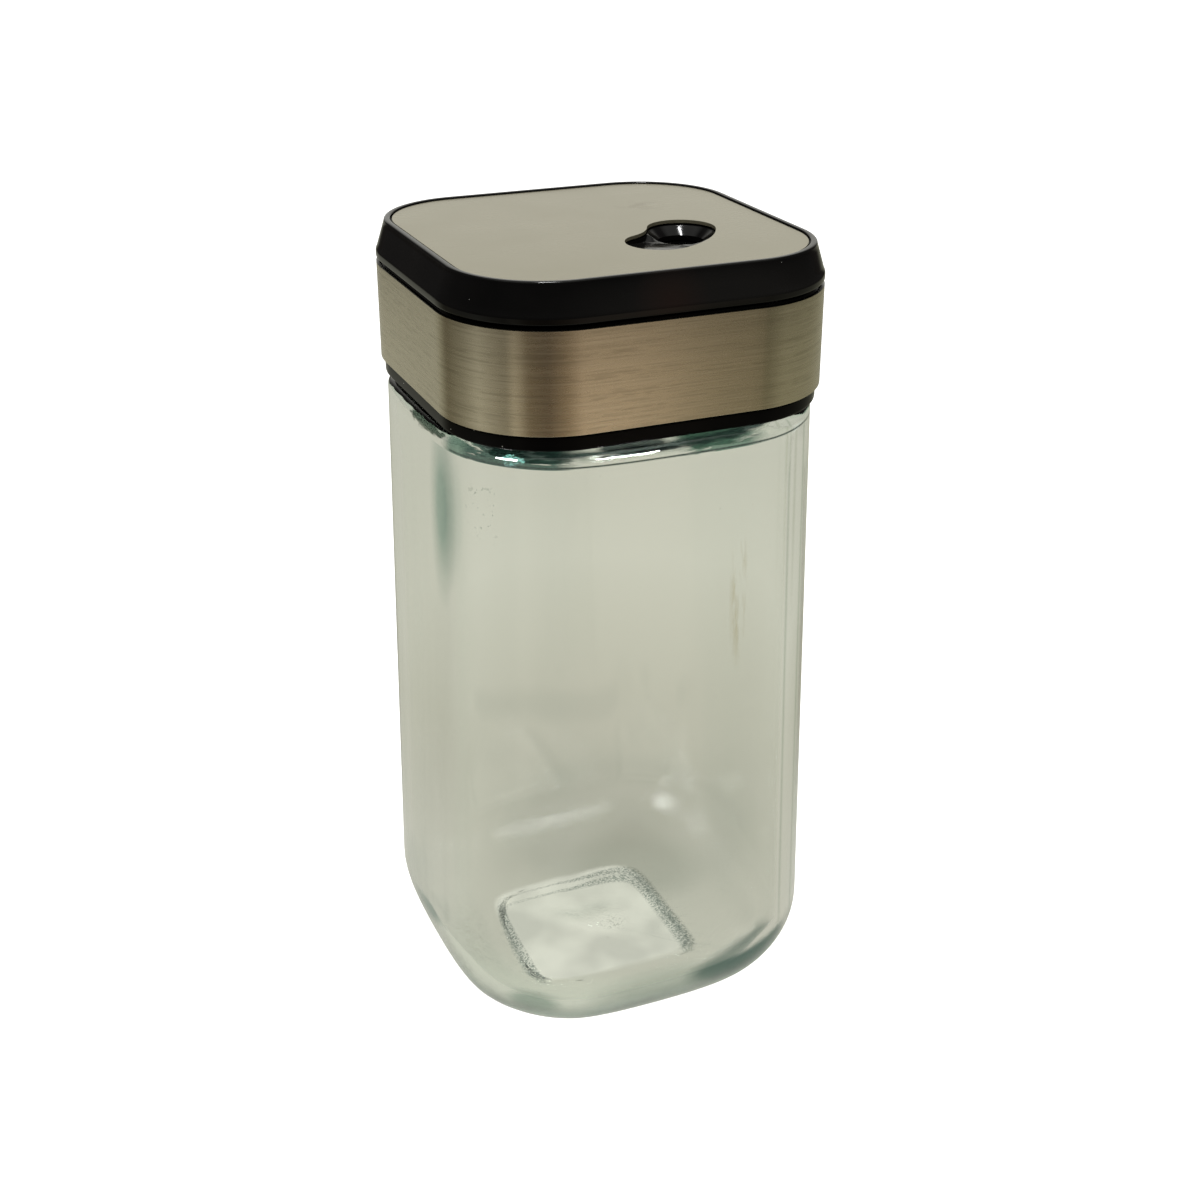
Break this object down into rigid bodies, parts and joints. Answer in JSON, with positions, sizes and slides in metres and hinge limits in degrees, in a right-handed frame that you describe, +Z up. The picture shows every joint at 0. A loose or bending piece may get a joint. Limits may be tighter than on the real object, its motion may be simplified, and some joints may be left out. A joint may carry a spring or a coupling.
{
  "type": "salt shaker",
  "caption": "Square glass salt shaker with a screw-on brushed steel and black rotary lid that turns between pouring, sprinkling and closed.",
  "frame": {"origin": "centre of the jar's flat foot ring, on the surface it stands on", "axes": "+Z up along the lid's turning axis; -Y is the wide side that faces the viewer; +X to the right"},
  "size_m": [0.0632, 0.0632, 0.1305],
  "materials": {
    "glass": "clear thick pressed glass with a faint green cast",
    "silicone": "matt translucent white",
    "gloss_black_plastic": "polished injection-moulded black",
    "brushed_steel_band": "brushed round the lid",
    "brushed_steel_plate": "very finely brushed in one direction",
    "plain_steel": "bright zinc-plated"
  },
  "bodies": {
    "jar": {"glass_jar": "glass"},
    "seal": {"neck_gasket": "silicone"},
    "lid": {"screw_cap": "gloss_black_plastic", "steel_band": "brushed_steel_band", "sifter_deck": "gloss_black_plastic"},
    "dial": {"dial": "gloss_black_plastic", "dial_plate": "brushed_steel_plate", "pivot_washer": "plain_steel", "pivot_screw": "plain_steel"}
  },
  "joints": [
    {"name": "lid_lift", "type": "slide", "parent": "jar", "child": "seal", "axis": [0, 0, 1], "range_m": [0, 0.00525]},
    {"name": "lid_turn", "type": "hinge", "parent": "seal", "child": "lid", "pos_m": [0, 0, 0.1065], "axis": [0, 0, 1], "range_deg": [0, 450.1]},
    {"name": "dial_turn", "type": "hinge", "parent": "lid", "child": "dial", "pos_m": [0, 0, 0.12475], "axis": [0, 0, 1], "continuous": true}
  ],
  "couplings": [
    {"joint": "lid_turn", "follows": "lid_lift", "rad_per_m": 1496}
  ]
}
